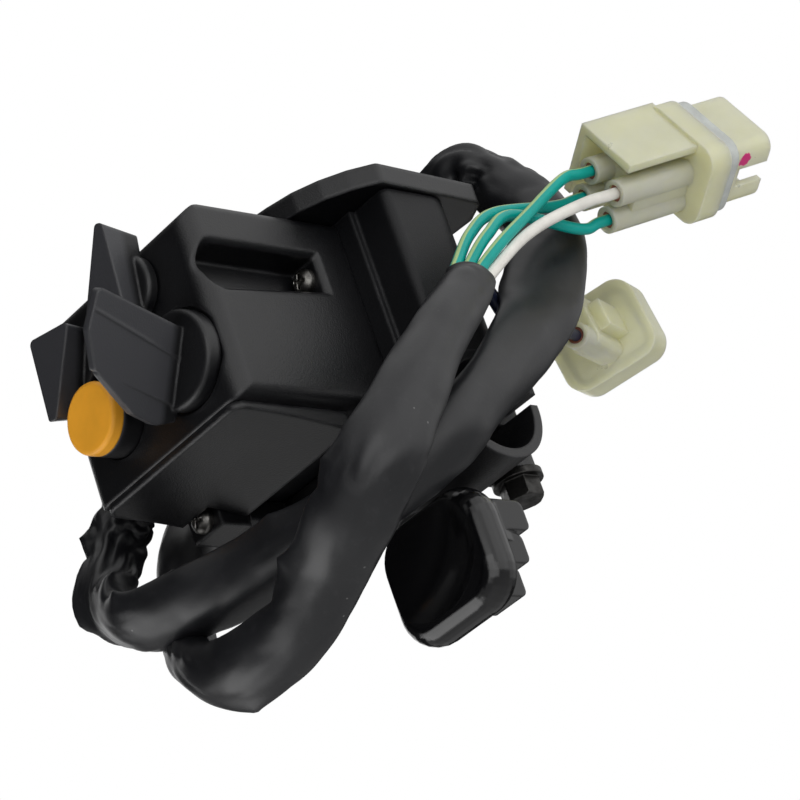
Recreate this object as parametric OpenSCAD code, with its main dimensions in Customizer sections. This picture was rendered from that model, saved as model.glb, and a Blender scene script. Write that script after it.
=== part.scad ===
// Left-hand handlebar switch cluster with a thumb lever, a bar clamp and a sleeved harness.
// X points forward, Y outboard along the bar, Z up. The origin is on the bar's axis.

/* [Handlebar clamp] */
// Diameter of the handlebar that the clamp grips
bar_d = 22.2; // [20:0.1:26]
// Wall of both half rings
clamp_wall = 2.2; // [1.8:0.1:4]
// How far the half rings reach inboard of the origin
clamp_inboard = 17.4; // [16:0.2:22]
// How far the lower half ring reaches outboard of the origin
clamp_outboard = 22.6; // [20:0.2:34]
// Gap left between the two clamp halves
clamp_gap = 0.6; // [0.4:0.1:1]
// Distance from the bar's axis to each clamp bolt
bolt_reach = 16; // [15.4:0.1:19]
// Place of the clamp bolts along the bar
bolt_y = -3; // [-7:0.5:-2]
// Radius of the rounded clamp ears
ear_r = 4.8; // [4.4:0.1:7]
// Thickness of the lower ears
ear_t = 9.4; // [7:0.1:10]
// Thickness of the upper ears
upper_ear_t = 5; // [4:0.1:5]
// Thread diameter of the clamp bolts
bolt_d = 5; // [5:1:6]
// Width across the flats of the bolt heads
bolt_af = 8; // [7:0.5:9]

/* [Switch case] */
// Distance from the bar's axis back to the rider's plate
plate_back = 56.2; // [54:0.2:60]
// Distance from the bar's axis back to the joint between the case and the clamp body
joint_back = 11; // [10.8:0.1:12]
// Inboard side of the case
case_in = -1.4; // [-2:0.1:-1]
// Width of the case along the bar
case_w = 51.4; // [50:0.2:56]
// Height of the case's floor above the bar's axis
case_low = 6.6; // [6.5:0.1:8]
// Height of the case
case_h = 47.9; // [46:0.1:54]
// Wall of the case
case_wall = 2.4; // [1.8:0.1:3]
// Radius of the upright corners beside the plate
case_r = 4.5; // [3:0.1:6]
// Radius of the case's long upper edges
edge_r = 2.4; // [2:0.1:5]
// Radius of the case's long lower edges
keel_r = 3.2; // [2:0.1:4]
// How far the sloping top edge cuts back along the roof
slope_x = 11; // [7:0.1:14]
// How far the sloping top edge cuts down the plate
slope_z = 6; // [3:0.1:7]
// Height of the screwdriver slot
slot_h = 8.7; // [7:0.1:11]
// Depth of the screwdriver slot
slot_deep = 8; // [7:0.1:8.2]
// Length of the screwdriver slot from the plate
slot_len = 35.5; // [32:0.1:38]

/* [Controls] */
// Diameter of the light knob's disc
light_d = 21.4; // [18:0.1:22]
// How far the light knob's fin stands out from the plate
light_fin = 26.6; // [24:0.2:30]
// Thickness of the light knob's fin
fin_t = 4; // [3:0.1:5]
// Diameter of the pointer knobs' discs
pointer_d = 15; // [13:0.1:15.4]
// Length of the pointers
pointer_len = 20.6; // [18:0.1:21]
// Width of the pointers at the blunt end
pointer_w = 14; // [12:0.1:15]
// How far the pointers stand out from the plate
pointer_out = 10.4; // [9:0.1:12]
// Diameter of the knobs' shafts
shaft_d = 6; // [5:0.1:6.4]
// Diameter of the push button
button_d = 15.8; // [14:0.1:16.2]
// How far the push button stands out from the plate
button_out = 8.2; // [7:0.1:10]
// Travel of the push button
button_travel = 3; // [2:0.1:3.4]

/* [Thumb lever] */
// Width of the lever's pad
pad_w = 31; // [26:0.5:32]
// Height of the lever's pad
pad_h = 28; // [26:0.5:31]
// Thickness of the lever's pad
pad_t = 9.2; // [8:0.1:11]
// Depth of the thumb dish in the pad
dish = 3; // [1.5:0.1:3.5]
// Diameter of the lever's pivot shoulder
pivot_d = 8; // [7:0.1:9]
// Height of the lever's hub
hub_h = 10; // [8:0.1:11]

/* [Harness] */
// Outer diameter of the vinyl sleeve
sleeve_d = 12.4; // [10:0.1:13]
// Diameter of each wire over its insulation
wire_d = 2.6; // [2:0.1:2.8]
// Length of the main connector
plug_len = 41; // [38:0.5:46]
// Width of the connectors' collars
collar_w = 24; // [22:0.1:26]
// Height of the connectors' collars
collar_h = 20.4; // [18:0.1:21]

/* [Hidden] */
$fn = 48;

// Fits
slack = 0.3;
run_fit = 0.06;
seat = 0.1;

// Clamp
bar_r = bar_d / 2;
ring_r = bar_r + clamp_wall;
split_z = 0.9;
gap_low = split_z - clamp_gap / 2;
gap_high = split_z + clamp_gap / 2;
front_gap = 2.4;
bolt_r = bolt_d / 2;

// Case box
plate_x = -plate_back;
joint_x = -joint_back;
case_out = case_in + case_w;
case_top = case_low + case_h;
cave_x = plate_x + case_wall;
cave_in = case_in + case_wall;
cave_out = case_out - case_wall;
cave_low = case_low + case_wall;
cave_top = case_top - case_wall;

// Screwdriver slot and the two case screws
slot_z = case_low + 0.6085 * case_h;
slot_end = plate_x + slot_len;
slot_wall = 1.8;
slot_bevel = 1.1;
screw_r = 1.75;
screw_head_r = 2.9;
screw_head_t = 2.4;
upper_screw = [slot_end, case_in + 4.9, slot_z + slot_h / 2 + 0.6];
lower_screw = [plate_x + 21.5, case_out - 6.5, case_low - 3.5];
lug_x = -23.6;
lug_w = 10;

// Places of the controls on the plate as [Y, Z], at shares of the case's width and height
light_at = [case_in + 0.2412 * case_w, case_low + 0.3111 * case_h];
stop_at = [case_in + 0.3852 * case_w, case_low + 0.7599 * case_h];
signal_at = [case_in + 0.8152 * case_w, case_low + 0.6639 * case_h];
button_at = [case_in + 0.7043 * case_w, case_low + 0.3006 * case_h];
light_turn = -36;
stop_turn = -25;
signal_turn = 168;
pointer_tip = 13.6;
pointer_flare = 1.12;
fin_end = 1.8;

// Bearings, rotors and the contact board, measured forward from the plate
bearing_len = 10;
bearing_wall = 2.4;
rotor_t = 3.2;
rotor_r = 6;
shaft_r = shaft_d / 2;
rotor_x = plate_x + bearing_len + slack;
board_x = rotor_x + rotor_t + slack + 0.1;
board_t = 2.4;
well = 1;
pin_r = 1.2;
pin_ring = 4.6;

// Push button
button_r = button_d / 2;
button_gap = 0.35;
cap_t = 3;
button_flange = 0.9;
flange_t = 2.4;
flange_x = cave_x + slack;
plunger_r = 2.4;
plunger_tip = board_x - button_travel + 0.4;
spring_r = 4.2;
spring_wire = 0.8;
spring_turns = 4;
spring_x = flange_x + flange_t;
spring_len = board_x - spring_x;

// Clamp body and hood
body_front = 14;
body_out = case_out - 2;
body_in = 16.2;
body_top = case_top - 0.2;
step_a = -6.3;
step_x = joint_x + 1.7;
hood_t = 5;
hood_lift = 0.1;

// Thumb lever
hub_at = [2, 12];
boss_low = -(ring_r + 5.7);
hub_top = boss_low - slack;
hub_low = hub_top - hub_h;
hub_r = 8.5;
bush_wall = 1;
pivot_r = pivot_d / 2;
washer_t = 0.8;
lever_thread = 5.6;
pad_x = -22.4;
pad_y = -5.5;
pad_z = -34;
pad_back = pad_x + pad_t - 2;
pad_corner = 9;
dish_r = 30;
dish_wide = 1.1;
dish_side = 1.6;
dish_up = 2.6;
pad_edge = 3.8;
step_out = 5.2;
step_back = [0, 3.1, 7.4];
step_web = -4;
step_r = 1.8;
step_h = 7.2;
step_gap = 0.6;

// Harness outlet in the outboard wall
outlet_x = -29.8;
outlet_z = case_low + 0.2589 * case_h;
outlet_r = sleeve_d / 2 + 1.6;
grommet_lip = 1.6;
grommet_out = 7;

// Route of the sleeve, from the outlet round the body to its cut end
sleeve_route = [[outlet_x, case_out + 2, outlet_z], [-31, 65, 16], [-36, 69, 8], [-46, 66, -6],
    [-53, 54, -18], [-49, 38, -20.5], [-44, 23, -21.5], [-40, 6, -21], [-35, -10, -18], [-25, -22, -12],
    [-14, -25, -5], [7, -25.5, 12], [19, -25.5, 24], [28, -25, 38], [33, -22, 51], [33, -16, 63],
    [31, -7, 70], [31, 6, 68], [32, 20, 61], [29, 35, 52], [22, 50, 43], [10, 60, 34], [-6, 64, 23],
    [-20, 63, 7], [-28, 60, -7], [-36, 55, -21], [-48, 44, -35], [-53, 28, -41], [-50, 11, -40],
    [-50, -3, -35.5], [-52, -18, -31], [-51, -27, -22], [-42, -30.5, -10], [-27, -31, 6], [-14, -31, 18],
    [-9.8, -31, 21.7]];
sleeve_end = sleeve_route[len(sleeve_route) - 1];
sleeve_dir = unit(sleeve_end - sleeve_route[len(sleeve_route) - 2]);

// Connectors: place of the wire end, and the turns of each axis away from Z
main_at = [33, -38.6, 43.9];
main_turn = [-55.4, 66.7, -75.9];
small_at = [37.3, -15.2, 26.8];
small_turn = [36.9, -81.6, 163.7];
cavity_r = 1.95;
tube_r = 3.1;
cavity_x = 4.4;
cavity_y = 3.7;
main_cavities = [for (x = [-1, 1], y = [-1, 1]) [x * cavity_x, y * cavity_y]];
small_cavities = [[-cavity_x, 0], [cavity_x, 0]];
main_bend = [12, -37, 40];
collar_z = 21;
collar_t = 6;
latch_z = 1;
plug_rise = 2.4;
shroud_t = 8;
shroud_wall = 1.8;
plug_w = collar_w - 4;
plug_h = collar_h - 3.4;
plug_wall = 1.6;
band_t = 3;
seal_in = 0.6;
seal_len = 4.5;
crimp_at = 9;

function unit(v) = v / norm(v);
function spline(a, b, c, d, t) = 0.5 * (2 * b + (c - a) * t + (2 * a - 5 * b + 4 * c - d) * t * t
    + (3 * b - a - 3 * c + d) * t * t * t);
// Points along a smooth line through p, with n steps between neighbours
function smooth(p, n) = [for (i = [0 : len(p) - 2]) for (k = [0 : n - 1])
    spline(p[max(i - 1, 0)], p[i], p[i + 1], p[min(i + 2, len(p) - 1)], k / n), p[len(p) - 1]];
function tangents(q) = [for (i = [0 : len(q) - 1]) unit(q[min(i + 1, len(q) - 1)] - q[max(i - 1, 0)])];
function across(v) = abs(v.z) < 0.8 ? unit(cross(v, [0, 0, 1])) : unit(cross(v, [1, 0, 0]));
// Side vectors carried along the line without twist
function carried(ts) = [for (i = 0, n = across(ts[0]); i < len(ts); i = i + 1,
    n = i < len(ts) ? unit(n - ts[i] * (n * ts[i])) : n) n];
// Turns a point by the Euler angles of rotate()
function turn(p, r) = let (
    a = [p.x, p.y * cos(r.x) - p.z * sin(r.x), p.y * sin(r.x) + p.z * cos(r.x)],
    b = [a.x * cos(r.y) + a.z * sin(r.y), a.y, a.z * cos(r.y) - a.x * sin(r.y)])
    [b.x * cos(r.z) - b.y * sin(r.z), b.x * sin(r.z) + b.y * cos(r.z), b.z];

// Least gap between stretches of a tube that lie further along it than its own bend
function least_gap(q, r, apart) = min([for (i = [0 : len(q) - apart - 1]) for (j = [i + apart : len(q) - 1])
    norm(q[i] - q[j])]) - 2 * r;
echo(least_gap_of_sleeve_mm = least_gap(smooth(sleeve_route, 4), sleeve_d / 2, 12));

// Round tube along a smooth line through the points of route
module tube(route, r, sides, steps) {
    line = smooth(route, steps);
    ts = tangents(line);
    ns = carried(ts);
    pts = [for (i = [0 : len(line) - 1]) for (k = [0 : sides - 1])
        line[i] + r * (cos(360 * k / sides) * ns[i] + sin(360 * k / sides) * cross(ts[i], ns[i]))];
    last = (len(line) - 1) * sides;
    skin = [for (i = [0 : len(line) - 2]) for (k = [0 : sides - 1]) let (
        a = i * sides + k, b = i * sides + (k + 1) % sides)
        each [[a, b + sides, b], [a, a + sides, b + sides]]];
    near = [for (k = [0 : sides - 1]) k];
    far = [for (k = [sides - 1 : -1 : 0]) last + k];
    polyhedron(points = pts, faces = concat(skin, [near], [far]));
}

// Profile in X and Z, pulled along Y from y0 to y1
module pull_y(y0, y1) {
    translate([0, y1, 0]) rotate([90, 0, 0]) linear_extrude(y1 - y0) children();
}

// Round bar along X from x0 to x1 through the point [y, z]
module rod_x(x0, x1, at, r) {
    translate([x0, at[0], at[1]]) rotate([0, 90, 0]) cylinder(h = x1 - x0, r = r);
}

// Round bar along Y through the origin's axis
module rod_y(y0, y1, r) {
    translate([0, y1, 0]) rotate([90, 0, 0]) cylinder(h = y1 - y0, r = r, $fn = 96);
}

// Places children on the plate with their Z pointing at the rider and their X up
module on_plate(at, angle) {
    translate([plate_x, at[0], at[1]]) rotate([0, -90, 0]) rotate(angle) children();
}

module rounded(w, h, r) {
    square([w - 2 * r, h], center = true);
    square([w, h - 2 * r], center = true);
    for (x = [-1, 1], y = [-1, 1]) translate([x * (w / 2 - r), y * (h / 2 - r)]) circle(r);
}

// Outline of the case seen by the rider, with rounded long edges
module case_face(in) {
    r = max(edge_r - in, 1);
    k = max(keel_r - in, 1);
    translate([case_in + in, case_low + in + k]) square([case_w - 2 * in, case_h - 2 * in - r - k]);
    translate([case_in + in + r, case_low + in]) square([case_w - 2 * in - 2 * r, case_h - 2 * in]);
    for (y = [case_in + in + r, case_out - in - r]) translate([y, case_top - in - r]) circle(r);
    for (y = [case_in + in + k, case_out - in - k]) translate([y, case_low + in + k]) circle(k);
}

// Case block drawn in by a wall on every side but the open front
module case_block(in) {
    r = max(case_r - in, 1);
    intersection() {
        translate([plate_x + in, case_in + in, 0]) linear_extrude(case_top + 10) {
            translate([r, 0]) square([joint_x - plate_x - in - r + (in > 0 ? 1 : 0), case_w - 2 * in]);
            translate([0, r]) square([r + 1, case_w - 2 * in - 2 * r]);
            for (y = [r, case_w - 2 * in - r]) translate([r, y]) circle(r);
        }
        pull_y(case_in - 1, case_out + 1) polygon([[plate_x + in, case_low + in],
            for (a = [0 : 9 : 90]) [plate_x + in + (slope_x - in * 0.4) * (1 - cos(a)),
                case_top - in - (slope_z - in * 0.4) * (1 - sin(a))],
            [joint_x + 2, case_top - in], [joint_x + 2, case_low + in]]);
        translate([plate_x - 1, 0, 0]) rotate([90, 0, 90]) linear_extrude(plate_back) case_face(in);
    }
}

// Outline of the screwdriver slot grown by g
module slot_outline(g) {
    mouth = slot_h / 2 + 1.3;
    x0 = plate_x + 1 + mouth;
    polygon([[x0, slot_z + slot_h + g], [slot_end + g, slot_z + slot_h + g], [slot_end + g, slot_z - g],
        [x0, slot_z + slot_h - 2 * mouth - g]]);
    translate([x0, slot_z + slot_h - mouth]) circle(mouth + g);
}

module switch_case() {
    color([0.17, 0.17, 0.19]) difference() {
        union() {
            difference() {
                case_block(0);
                case_block(case_wall);
            }
            intersection() {
                pull_y(case_in, case_in + slot_deep + slot_wall) slot_outline(slot_wall);
                case_block(0);
            }
            rod_x(slot_end, joint_x, [upper_screw.y, upper_screw.z], screw_head_r + 1.2);
            for (at = [light_at, stop_at, signal_at])
                rod_x(plate_x + well + 0.5, plate_x + bearing_len, at, shaft_r + bearing_wall);
            for (at = [[cave_in + 2.4, cave_low + 3], [cave_out - 2.2, cave_low + 3],
                [cave_out - 2.2, cave_top - 2.6]]) rod_x(cave_x - 1, board_x, at, 2.2);
            translate([lower_screw.x + screw_head_t, lower_screw.y - lug_w / 2, lower_screw.z - 3.4])
                cube([lug_x - slack - lower_screw.x - screw_head_t, lug_w, case_low - lower_screw.z + 3.5]);
        }
        pull_y(case_in - 1, case_in + slot_deep) slot_outline(0);
        hull() {
            pull_y(case_in - 0.1, case_in) slot_outline(slot_bevel);
            pull_y(case_in, case_in + slot_bevel) slot_outline(0);
        }
        rod_x(slot_end - 1, joint_x + 1, [upper_screw.y, upper_screw.z], screw_r + 0.2);
        rod_x(lower_screw.x, lug_x, [lower_screw.y, lower_screw.z], screw_r + 0.2);
        rod_x(plate_x - 1, plate_x + well, light_at, light_d / 2 + 0.7);
        for (at = [light_at, stop_at, signal_at])
            rod_x(plate_x - 1, plate_x + bearing_len + 1, at, shaft_r + run_fit);
        rod_x(plate_x - 1, cave_x + 1, button_at, button_r + button_gap);
        translate([outlet_x, case_out + 1, outlet_z])
            rotate([90, 0, 0]) cylinder(h = case_wall + 2, r = outlet_r);
        translate([cover_x0, cover_y0, case_low - 1])
            cube([cover_x1 - cover_x0, cover_y1 - cover_y0, case_wall + 2]);
    }
}

// Bottom cover, its opening in the floor and the curved skin below
cover_x0 = plate_x + 9;
cover_x1 = plate_x + 24;
cover_y0 = case_in + 8;
cover_y1 = case_out - 8;
cover_end = lug_x - 1;
cover_deep = 4.6;
cover_side = keel_r - 0.6;
cover_w = case_w - 2 * cover_side;
cover_r = 3;
cover_edge = 1.8;
cover_curve = 190;
rim_wall = 1.6;

// Opening in the case's floor, made smaller by g on every side
module cover_opening(g) {
    translate([cover_x0 + g, cover_y0 + g])
        square([cover_x1 - cover_x0 - 2 * g, cover_y1 - cover_y0 - 2 * g]);
}

module bottom_cover() {
    color([0.15, 0.15, 0.17]) {
        difference() {
            translate([plate_x, case_in + cover_side, case_low - cover_deep]) {
                translate([cover_r, 0, 0]) cube([cover_end - plate_x - cover_r, cover_w, cover_deep - seat]);
                translate([0, cover_r, 0]) cube([cover_r + 1, cover_w - 2 * cover_r, cover_deep - seat]);
                for (y = [cover_r, cover_w - cover_r])
                    translate([cover_r, y, 0]) cylinder(h = cover_deep - seat, r = cover_r);
            }
            translate([plate_x - 2, case_out + 1, case_low - cover_edge - cover_curve])
                rotate([90, 0, 0]) cylinder(h = case_w + 2, r = cover_curve, $fn = 200);
            translate([lower_screw.x - 0.6, lower_screw.y - lug_w / 2 - slack, case_low - 20])
                cube([40, lug_w + 20, 30]);
        }
        translate([0, 0, case_low - 0.6]) linear_extrude(case_wall + 1) difference() {
            cover_opening(seat);
            cover_opening(seat + rim_wall);
        }
    }
}

// Plan of the clamp body: a flat joint side, a stepped inboard side and a round nose
module body_plan() {
    nose = 9;
    translate([joint_x + seat, step_a]) square([body_front - joint_x - seat - nose, body_out - step_a]);
    translate([step_x, -body_in + 2]) square([body_front - step_x - nose, body_out + body_in - 2 - nose]);
    translate([step_x + 2, -body_in]) square([body_front - step_x - 2 - nose, 10]);
    translate([step_x + 2, -body_in + 2]) circle(2);
    translate([joint_x + 3, -body_in + nose])
        square([body_front - joint_x - 3, body_out + body_in - 2 * nose]);
    for (y = [-body_in + nose, body_out - nose]) translate([body_front - nose, y]) circle(nose);
}

module clamp_body() {
    color([0.16, 0.16, 0.18]) difference() {
        union() {
            translate([0, 0, case_low]) linear_extrude(body_top - case_low) body_plan();
            intersection() {
                rod_y(-clamp_inboard, body_out, ring_r);
                translate([-ring_r, -clamp_inboard, gap_high])
                    cube([2 * ring_r, clamp_inboard + body_out, case_low - gap_high - slack]);
            }
            intersection() {
                rod_y(-clamp_inboard, body_out, ring_r);
                translate([joint_x + seat, -clamp_inboard, gap_high])
                    cube([40, clamp_inboard + body_out, ring_r]);
            }
            for (s = [-1, 1]) translate([s * bolt_reach, bolt_y, gap_high]) {
                cylinder(h = upper_ear_t, r = ear_r);
                translate([s > 0 ? -bolt_reach + bar_r + 0.6 : 0, -ear_r, 0])
                    cube([bolt_reach - bar_r - 0.6, 2 * ear_r, upper_ear_t]);
            }
            translate([bar_r + 0.6, -clamp_inboard + 0.4, gap_high + front_gap])
                cube([clamp_wall + 0.6, clamp_inboard - 0.4 + bolt_y, upper_ear_t - front_gap]);
            translate([lug_x, lower_screw.y - lug_w / 2, gap_high])
                cube([-bar_r - 0.6 - lug_x, lug_w, case_low - gap_high - slack]);
        }
        rod_y(-clamp_inboard - 1, body_out + 1, bar_r);
        translate([0, -clamp_inboard - 1, gap_high - 1])
            cube([2 * ring_r, clamp_inboard + 1 + bolt_y - ear_r, front_gap + 1]);
        for (s = [-1, 1]) translate([s * bolt_reach, bolt_y, -1]) cylinder(h = 20, r = bolt_r);
        translate([joint_x - 1, case_in + 8, case_low + 9])
            cube([12, case_w - 18, case_h - 15]);
        rod_x(joint_x - 1, joint_x + 12, [upper_screw.y, upper_screw.z], screw_r);
        rod_x(lug_x - 1, lug_x + 8, [lower_screw.y, lower_screw.z], screw_r);
    }
}

// Plan of the brim: it overhangs the stepped side and sweeps back over the case's roof
module hood_plan() {
    offset(2, $fn = 32) offset(-2) polygon([[joint_x + 0.6, -body_in - 1.4], [joint_x - 4.6, -body_in + 2.8],
        [joint_x - 8.8, -body_in + 7.8], [joint_x - 12, -body_in + 13.4], [joint_x - 14, case_in + 5],
        [joint_x - 15.5, case_in + 12],
        [joint_x - 15.5, case_out - 14], [joint_x - 10, case_out - 6], [body_front - 4, case_out - 2],
        [body_front + 6, case_out - 12], [body_front + 10, -body_in + 6], [body_front + 7, -body_in - 0.4]]);
}

module top_hood() {
    color([0.19, 0.19, 0.21]) translate([0, 0, case_top + hood_lift]) linear_extrude(hood_t) hood_plan();
}

module clamp_cap() {
    color([0.16, 0.16, 0.18]) difference() {
        union() {
            intersection() {
                rod_y(-clamp_inboard, clamp_outboard, ring_r);
                translate([-ring_r, -clamp_inboard, -ring_r])
                    cube([2 * ring_r, clamp_inboard + clamp_outboard, ring_r + gap_low]);
            }
            for (s = [-1, 1]) translate([s * bolt_reach, bolt_y, gap_low - ear_t]) {
                cylinder(h = ear_t, r = ear_r);
                translate([s > 0 ? -bolt_reach + bar_r - 2 : 0, -ear_r, 0])
                    cube([bolt_reach - bar_r + 2, 2 * ear_r, ear_t]);
            }
            translate([hub_at.x, hub_at.y, boss_low]) cylinder(h = -boss_low - bar_r * 0.6, r = hub_r - 0.5);
        }
        rod_y(-clamp_inboard - 1, clamp_outboard + 1, bar_r);
        for (s = [-1, 1]) translate([s * bolt_reach, bolt_y, -30]) cylinder(h = 40, r = bolt_r + 0.3);
        translate([hub_at.x, hub_at.y, boss_low - 1]) cylinder(h = lever_thread + 1, r = bolt_r);
    }
}

// Hex flange bolt, standing head down with its seat at the origin
module flange_bolt(shank, head_af) {
    cylinder(h = shank, r = bolt_r - 0.02);
    translate([0, 0, -1.6]) cylinder(h = 1.6, r = head_af * 0.72);
    translate([0, 0, -6.2]) intersection() {
        cylinder(h = 5, r = head_af / 2 / cos(30), $fn = 6);
        translate([0, 0, -0.6]) cylinder(h = 6, r1 = head_af * 0.46, r2 = head_af * 1.1);
    }
}

module clamp_bolts() {
    color([0.45, 0.45, 0.46]) for (s = [-1, 1])
        translate([s * bolt_reach, bolt_y, gap_low - ear_t])
            flange_bolt(ear_t + clamp_gap + upper_ear_t - 0.4, bolt_af);
}

// Round-headed screw along X with a cross recess that faces the rider
module cross_screw(at, len) {
    translate(at) rotate([0, 90, 0]) difference() {
        union() {
            cylinder(h = len, r = screw_r - 0.02);
            intersection() {
                translate([0, 0, -screw_head_t]) cylinder(h = screw_head_t, r = screw_head_r);
                translate([0, 0, 0.6]) sphere(r = 3.4, $fn = 40);
            }
        }
        for (a = [0, 90]) rotate(a + 20) translate([-1.7, -0.4, -screw_head_t - 1]) cube([3.4, 0.8, 2.2]);
    }
}

module case_screws() {
    color([0.5, 0.5, 0.5]) {
        cross_screw([upper_screw.x, upper_screw.y, upper_screw.z], joint_x + 9 - upper_screw.x);
        cross_screw([lower_screw.x + screw_head_t, lower_screw.y, lower_screw.z],
            lug_x + 6 - lower_screw.x - screw_head_t);
    }
}

module contact_base() {
    color([0.35, 0.22, 0.12]) translate([board_x, 0, 0]) difference() {
        rotate([90, 0, 90]) linear_extrude(board_t) polygon([[cave_in + 0.4, cave_low + 0.8],
            [cave_out - 0.4, cave_low + 0.8], [cave_out - 0.4, cave_top - 3],
            [cave_out - 2.4, cave_top - 1], [case_in + slot_deep + slot_wall + 0.5, cave_top - 1],
            [case_in + slot_deep + slot_wall + 0.5, slot_z - slot_wall - 3],
            [cave_in + 0.4, slot_z - slot_wall - 3]]);
        for (p = pin_places()) rod_x(-1, board_t + 1, p, pin_r);
        rod_x(-1, board_t + 1, button_at, plunger_r + 0.5);
    }
}

function pin_places() = [for (at = [light_at, stop_at, signal_at]) for (a = [90 : 120 : 330])
    [at[0] + pin_ring * cos(a), at[1] + pin_ring * sin(a)]];

module contact_pins() {
    color([0.8, 0.62, 0.25]) for (p = pin_places()) {
        rod_x(board_x, board_x + board_t + 4, p, pin_r);
        rod_x(board_x + board_t, board_x + board_t + 0.6, p, pin_r + 0.5);
    }
}

// Shaft and disc shared by the knobs; the disc runs in a shallow well or on the plate
module knob_base(d, sunk) {
    rotate_extrude($fn = 72) polygon([[0, -sunk], [d / 2, -sunk], [d / 2, 2.2], [d / 2 - 0.3, 2.75],
        [d / 2 - 0.9, 3], [0, 3]]);
    translate([0, 0, -bearing_len - slack - rotor_t])
        cylinder(h = bearing_len + rotor_t + slack + 1, r = shaft_r);
}

// Sides of the light knob's fin, thick at the disc and thin at the rider's end, grown by g
module fin_wedge(g) {
    rotate([90, 0, 90]) linear_extrude(40, center = true) polygon([[-fin_t / 2 - g, 0], [fin_t / 2 + g, 0],
        [fin_end / 2 + g, light_fin + 1], [-fin_end / 2 - g, light_fin + 1]]);
}

module light_knob() {
    color([0.2, 0.2, 0.22]) on_plate(light_at, light_turn) {
        knob_base(light_d, well - slack - 0.1);
        intersection() {
            rotate([90, 0, 0]) {
                linear_extrude(fin_t, center = true) offset(1.2) offset(-1.2) polygon([[6.2, 1.2],
                    [13, light_fin - 1.2], [4, light_fin], [-4, light_fin - 3], [-10, 1.2]]);
                linear_extrude(fin_t - 1.4, center = true) offset(1) offset(-1) polygon([[6, 1.2],
                    [-3.9, light_fin - 3], [-12, light_fin - 14], [-13.8, 6.5], [-12.8, 1.6], [-10, 1.2]]);
            }
            fin_wedge(0);
        }
        intersection() {
            rotate([90, 0, 0]) linear_extrude(fin_t + 1, center = true)
                polygon([[0.6, 3], [8.6, light_fin - 1], [8, light_fin - 1], [0, 3]]);
            fin_wedge(0.25);
        }
    }
}

// Pointer knob: a disc with a long wedge whose top slopes down to the blunt end
module pointer_knob(at, angle) {
    on_plate(at, angle) {
        knob_base(pointer_d, -slack - 0.1);
        difference() {
            translate([0, 0, 0.8]) linear_extrude(pointer_out - 0.8, scale = pointer_flare)
                offset(1, $fn = 24) offset(-1) scale(1 / pointer_flare) polygon([[pointer_tip, 1.2],
                    [pointer_tip, -1.2], [pointer_tip - pointer_len, -pointer_w / 2],
                    [pointer_tip - pointer_len, pointer_w / 2]]);
            translate([pointer_tip, 0, pointer_out]) rotate([0, -6, 0])
                translate([-2 * pointer_len, -pointer_w, 0]) cube([2 * pointer_len, 2 * pointer_w, 12]);
        }
    }
}

module stop_knob() { color([0.19, 0.19, 0.21]) pointer_knob(stop_at, stop_turn); }
module signal_knob() { color([0.19, 0.19, 0.21]) pointer_knob(signal_at, signal_turn); }

// Contact rotor pressed on the end of a knob's shaft
module rotor(at, angle) {
    on_plate(at, angle) translate([0, 0, -bearing_len - slack - rotor_t]) difference() {
        union() {
            cylinder(h = rotor_t, r = rotor_r);
            translate([rotor_r - 1, -1.4, 0]) cube([2.4, 2.8, rotor_t]);
        }
        translate([0, 0, -1]) cylinder(h = rotor_t + 2, r = shaft_r);
    }
}

module light_rotor() { color([0.75, 0.72, 0.65]) rotor(light_at, light_turn); }
module stop_rotor() { color([0.75, 0.72, 0.65]) rotor(stop_at, stop_turn); }
module signal_rotor() { color([0.75, 0.72, 0.65]) rotor(signal_at, signal_turn); }

module button_cap() {
    color([0.9, 0.55, 0.1]) translate([plate_x - button_out, button_at[0], button_at[1]]) rotate([0, 90, 0])
        rotate_extrude($fn = 72) polygon([[0, 0], [button_r - 0.8, 0], [button_r - 0.25, 0.25],
            [button_r, 0.8], [button_r, cap_t], [0, cap_t]]);
}

module button_stem() {
    color([0.16, 0.16, 0.18]) {
        rod_x(plate_x - button_out + cap_t, spring_x, button_at, button_r);
        rod_x(flange_x, spring_x, button_at, button_r + button_flange);
        rod_x(spring_x - 0.5, plunger_tip, button_at, plunger_r);
    }
}

module button_spring() {
    pitch = (spring_len - spring_wire - 2 * seat) / spring_turns;
    color([0.7, 0.7, 0.72]) translate([spring_x + seat + spring_wire / 2, button_at[0], button_at[1]])
        tube([for (i = [0 : 8 * spring_turns])
            [pitch * i / 8, spring_r * cos(45 * i), spring_r * sin(45 * i)]], spring_wire / 2, 6, 1);
}

module button_contact() {
    color([0.8, 0.62, 0.25]) rod_x(plunger_tip, plunger_tip + 0.8, button_at, plunger_r);
}

// Rounded pad with a thumb dish that faces the rider
module pad() {
    difference() {
        translate([pad_x + pad_t / 2, pad_y, pad_z]) rotate([0, 90, 0]) hull() for (z = [-1, 1], y = [-1, 1])
            translate([z * (pad_h / 2 - pad_corner), y * (pad_w / 2 - pad_corner), 0])
                rotate_extrude($fn = 32) translate([pad_corner - pad_edge, 0])
                    scale([1, pad_t / 2 / pad_edge]) circle(pad_edge, $fn = 24);
        translate([pad_x - dish_r + dish, pad_y + dish_side, pad_z + dish_up])
            scale([1, dish_wide, 1]) sphere(r = dish_r, $fn = 96);
    }
}

// One rounded step at the back of the lever, hanging from Z = 0 and reaching forward to x
module arm_step(x) {
    translate([pad_back, -step_h]) square([x - step_r - pad_back, step_h]);
    translate([pad_back, -step_h + step_r]) square([x - pad_back, step_h - 2 * step_r]);
    for (z = [-step_r, -step_h + step_r]) translate([x - step_r, z]) circle(step_r);
}

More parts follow.
